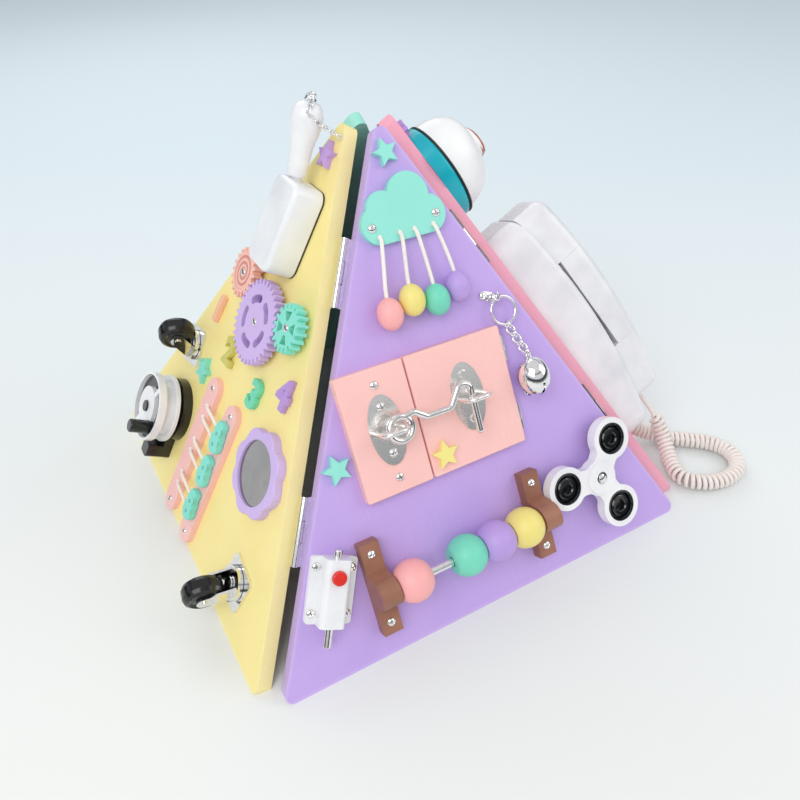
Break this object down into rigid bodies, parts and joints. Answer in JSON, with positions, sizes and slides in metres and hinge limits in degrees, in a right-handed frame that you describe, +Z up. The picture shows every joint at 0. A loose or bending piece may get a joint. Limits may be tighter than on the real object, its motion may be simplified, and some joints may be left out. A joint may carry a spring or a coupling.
{
  "type": "busy board",
  "caption": "Free-standing wooden activity pyramid for small children: hinged triangular boards with latches, beads, gears, wheels, a mirror, a push lamp and a play telephone.",
  "frame": {"origin": "on the floor, at the middle of the object's plan (free cords left out)", "axes": "+Z up; -Y faces out from the board with the door and the bead rail; +X faces out from the board with the telephone"},
  "size_m": [0.411, 0.3331, 0.2732],
  "materials": {
    "bead_green": "satin",
    "bead_pink": "satin",
    "bead_purple": "satin",
    "bead_yellow": "satin",
    "black_plastic": "matte",
    "black_rubber": "matte",
    "blush_paint": "satin",
    "brown_plastic": "matte",
    "brushed": "brushed",
    "coil_plastic": "satin",
    "cord_white": "matte",
    "lilac_paint": "satin",
    "mint_paint": "satin",
    "mirror": "polished",
    "pink_paint": "satin",
    "purple_paint": "satin",
    "red_plastic": "gloss",
    "steel": "polished",
    "teal_plastic": "gloss",
    "white_plastic": "gloss",
    "yellow_paint": "satin"
  },
  "bodies": {
    "pink_board": {"pink_panel": "pink_paint", "pink_hinge_leaves": "steel", "lamp_base": "teal_plastic", "lamp_dome": "white_plastic", "phone_base": "white_plastic", "phone_cord": "coil_plastic"},
    "purple_board": {"purple_panel": "purple_paint", "purple_hinge_leaves": "steel", "mint_cutouts": "mint_paint", "door_post": "blush_paint", "hook_plate": "steel", "purple_screws": "steel", "latch_case": "white_plastic", "rail_brackets": "brown_plastic", "rail_rod": "steel", "bead_cords": "cord_white"},
    "yellow_board": {"yellow_panel": "yellow_paint", "yellow_hinge_leaves": "steel", "yellow_cutouts": "lilac_paint", "socket_box": "white_plastic", "yellow_screws": "steel", "caster_plates": "brushed", "reel_frame": "black_plastic", "toggle_bars": "blush_paint", "yellow_cords": "cord_white", "mirror_frame": "lilac_paint", "mirror_glass": "mirror"},
    "mint_board": {"mint_panel": "mint_paint", "mint_hinge_leaves": "steel"},
    "door": {"door_leaf": "blush_paint", "door_fittings": "steel"},
    "hook": {"cabin_hook": "steel"},
    "bead_pink": {"hanging_bead_pink": "bead_pink"},
    "bead_yellow": {"hanging_bead_yellow": "bead_yellow"},
    "bead_green": {"hanging_bead_green": "bead_green"},
    "bead_purple": {"hanging_bead_purple": "bead_purple"},
    "bell": {"jingle_bell": "steel"},
    "latch_rod": {"latch_rod": "steel"},
    "latch_button": {"latch_button": "red_plastic"},
    "rail_pink": {"rail_bead_pink": "bead_pink"},
    "rail_green": {"rail_bead_green": "bead_green"},
    "rail_purple": {"rail_bead_purple": "bead_purple"},
    "rail_yellow": {"rail_bead_yellow": "bead_yellow"},
    "spinner": {"spinner_body": "white_plastic", "spinner_weights": "black_plastic"},
    "gear_purple": {"gear_purple": "lilac_paint"},
    "gear_pink": {"gear_pink": "blush_paint"},
    "gear_mint": {"gear_mint": "mint_paint"},
    "fork_upper": {"caster_fork_upper": "steel"},
    "wheel_upper": {"caster_wheel_upper": "black_rubber"},
    "fork_lower": {"caster_fork_lower": "steel"},
    "wheel_lower": {"caster_wheel_lower": "black_rubber"},
    "reel": {"reel_spool": "white_plastic"},
    "toggle_top": {"toggle_top": "mint_paint"},
    "toggle_middle": {"toggle_middle": "mint_paint"},
    "toggle_bottom": {"toggle_bottom": "mint_paint"},
    "plug": {"plug": "white_plastic"},
    "lamp_button": {"lamp_button": "red_plastic"},
    "keypad": {"phone_keys": "black_plastic"},
    "handset": {"handset": "white_plastic"}
  },
  "joints": [
    {"name": "fold_right", "type": "hinge", "parent": "pink_board", "child": "purple_board", "pos_m": [0.15007, -0.14886, 0], "axis": [-0.4472, 0.4472, 0.7746], "range_deg": [0, 20]},
    {"name": "fold_left", "type": "hinge", "parent": "purple_board", "child": "yellow_board", "pos_m": [-0.15335, -0.14886, 0], "axis": [0.4472, 0.4472, 0.7746], "range_deg": [-21, 0]},
    {"name": "fold_back", "type": "hinge", "parent": "pink_board", "child": "mint_board", "pos_m": [0.15007, 0.15456, 0], "axis": [0.4472, 0.4472, -0.7746], "range_deg": [-21, 0]},
    {"name": "door_swing", "type": "hinge", "parent": "purple_board", "child": "door", "pos_m": [0.04026, -0.09602, 0.11332], "axis": [0, 0.5, 0.866], "range_deg": [0, 30]},
    {"name": "hook_lift", "type": "hinge", "parent": "purple_board", "child": "hook", "pos_m": [-0.04484, -0.10829, 0.12127], "axis": [0, -0.9715, 0.2368], "range_deg": [0, 120]},
    {"name": "bead_pink_swing", "type": "hinge", "parent": "purple_board", "child": "bead_pink", "pos_m": [-0.02114, -0.04661, 0.20575], "axis": [-1, 0, 0], "range_deg": [0, 70]},
    {"name": "bead_yellow_swing", "type": "hinge", "parent": "purple_board", "child": "bead_yellow", "pos_m": [-0.00814, -0.04661, 0.20575], "axis": [-1, 0, 0], "range_deg": [0, 70]},
    {"name": "bead_green_swing", "type": "hinge", "parent": "purple_board", "child": "bead_green", "pos_m": [0.00136, -0.04661, 0.20575], "axis": [-1, 0, 0], "range_deg": [0, 70]},
    {"name": "bead_purple_swing", "type": "hinge", "parent": "purple_board", "child": "bead_purple", "pos_m": [0.01386, -0.04661, 0.20575], "axis": [-1, 0, 0], "range_deg": [0, 70]},
    {"name": "bell_swing", "type": "hinge", "parent": "purple_board", "child": "bell", "pos_m": [0.04326, -0.07139, 0.16058], "axis": [-1, 0, 0], "range_deg": [0, 60]},
    {"name": "latch_rod_slide", "type": "slide", "parent": "purple_board", "child": "latch_rod", "axis": [0.4147, 0.455, 0.788], "range_m": [0, 0.01]},
    {"name": "latch_button_press", "type": "slide", "parent": "purple_board", "child": "latch_button", "axis": [0, 0.866, -0.5], "range_m": [0, 0.0015], "stiffness_N_per_m": 200},
    {"name": "rail_pink_slide", "type": "slide", "parent": "purple_board", "child": "rail_pink", "axis": [1, 0, 0], "range_m": [0, 0.0045]},
    {"name": "rail_green_slide", "type": "slide", "parent": "purple_board", "child": "rail_green", "axis": [1, 0, 0], "range_m": [-0.011, 0]},
    {"name": "rail_purple_slide", "type": "slide", "parent": "purple_board", "child": "rail_purple", "axis": [1, 0, 0], "range_m": [-0.011, 0]},
    {"name": "rail_yellow_slide", "type": "slide", "parent": "purple_board", "child": "rail_yellow", "axis": [1, 0, 0], "range_m": [-0.011, 0]},
    {"name": "spinner_spin", "type": "hinge", "parent": "purple_board", "child": "spinner", "pos_m": [0.08036, -0.14296, 0.05122], "axis": [0, -0.866, 0.5], "continuous": true},
    {"name": "gear_purple_turn", "type": "hinge", "parent": "yellow_board", "child": "gear_purple", "pos_m": [-0.08544, -0.00265, 0.14763], "axis": [-0.866, 0, 0.5], "continuous": true},
    {"name": "gear_pink_turn", "type": "hinge", "parent": "yellow_board", "child": "gear_pink", "pos_m": [-0.07682, 0.03433, 0.16256], "axis": [-0.866, 0, 0.5], "continuous": true},
    {"name": "gear_mint_turn", "type": "hinge", "parent": "yellow_board", "child": "gear_mint", "pos_m": [-0.07808, -0.03909, 0.16038], "axis": [-0.866, 0, 0.5], "continuous": true},
    {"name": "caster_upper_swivel", "type": "hinge", "parent": "yellow_board", "child": "fork_upper", "pos_m": [-0.11371, 0.07985, 0.09466], "axis": [-0.866, 0, 0.5], "continuous": true},
    {"name": "caster_upper_roll", "type": "hinge", "parent": "fork_upper", "child": "wheel_upper", "pos_m": [-0.12229, 0.07554, 0.1094], "axis": [0.227, 0.891, 0.3932], "continuous": true},
    {"name": "caster_lower_swivel", "type": "hinge", "parent": "yellow_board", "child": "fork_lower", "pos_m": [-0.15121, -0.08575, 0.02971], "axis": [-0.866, 0, 0.5], "continuous": true},
    {"name": "caster_lower_roll", "type": "hinge", "parent": "fork_lower", "child": "wheel_lower", "pos_m": [-0.16854, -0.08281, 0.02929], "axis": [-0.1545, -0.9511, -0.2676], "continuous": true},
    {"name": "reel_turn", "type": "hinge", "parent": "yellow_board", "child": "reel", "pos_m": [-0.15206, 0.06885, 0.06023], "axis": [-0.866, 0, 0.5], "continuous": true},
    {"name": "toggle_top_lift", "type": "hinge", "parent": "yellow_board", "child": "toggle_top", "pos_m": [-0.12491, 0.02185, 0.07746], "axis": [-0.5, 0, -0.866], "range_deg": [0, 60]},
    {"name": "toggle_middle_lift", "type": "hinge", "parent": "yellow_board", "child": "toggle_middle", "pos_m": [-0.13841, 0.02185, 0.05408], "axis": [-0.5, 0, -0.866], "range_deg": [0, 60]},
    {"name": "toggle_bottom_lift", "type": "hinge", "parent": "yellow_board", "child": "toggle_bottom", "pos_m": [-0.15216, 0.02185, 0.03026], "axis": [-0.5, 0, -0.866], "range_deg": [0, 60]},
    {"name": "plug_pull", "type": "slide", "parent": "yellow_board", "child": "plug", "axis": [0.309, 0, 0.9511], "range_m": [0, 0.016], "deforming": ["yellow_cords"]},
    {"name": "lamp_press", "type": "slide", "parent": "pink_board", "child": "lamp_button", "axis": [-0.866, 0, -0.5], "range_m": [0, 0.002], "stiffness_N_per_m": 200},
    {"name": "keys_press", "type": "slide", "parent": "pink_board", "child": "keypad", "axis": [-0.866, 0, -0.5], "range_m": [0, 0.001], "stiffness_N_per_m": 200},
    {"name": "handset_lift", "type": "slide", "parent": "pink_board", "child": "handset", "axis": [0.866, 0, 0.5], "range_m": [0, 0.04]}
  ],
  "couplings": [
    {"joint": "fold_left", "follows": "fold_right", "ratio": -1.05},
    {"joint": "fold_back", "follows": "fold_right", "ratio": -1.05},
    {"joint": "hook_lift", "follows": "door_swing", "ratio": 4},
    {"joint": "rail_purple_slide", "follows": "rail_green_slide", "ratio": 1},
    {"joint": "rail_yellow_slide", "follows": "rail_green_slide", "ratio": 1},
    {"joint": "gear_pink_turn", "follows": "gear_purple_turn", "ratio": -1.7},
    {"joint": "gear_mint_turn", "follows": "gear_purple_turn", "ratio": -1.8889}
  ]
}
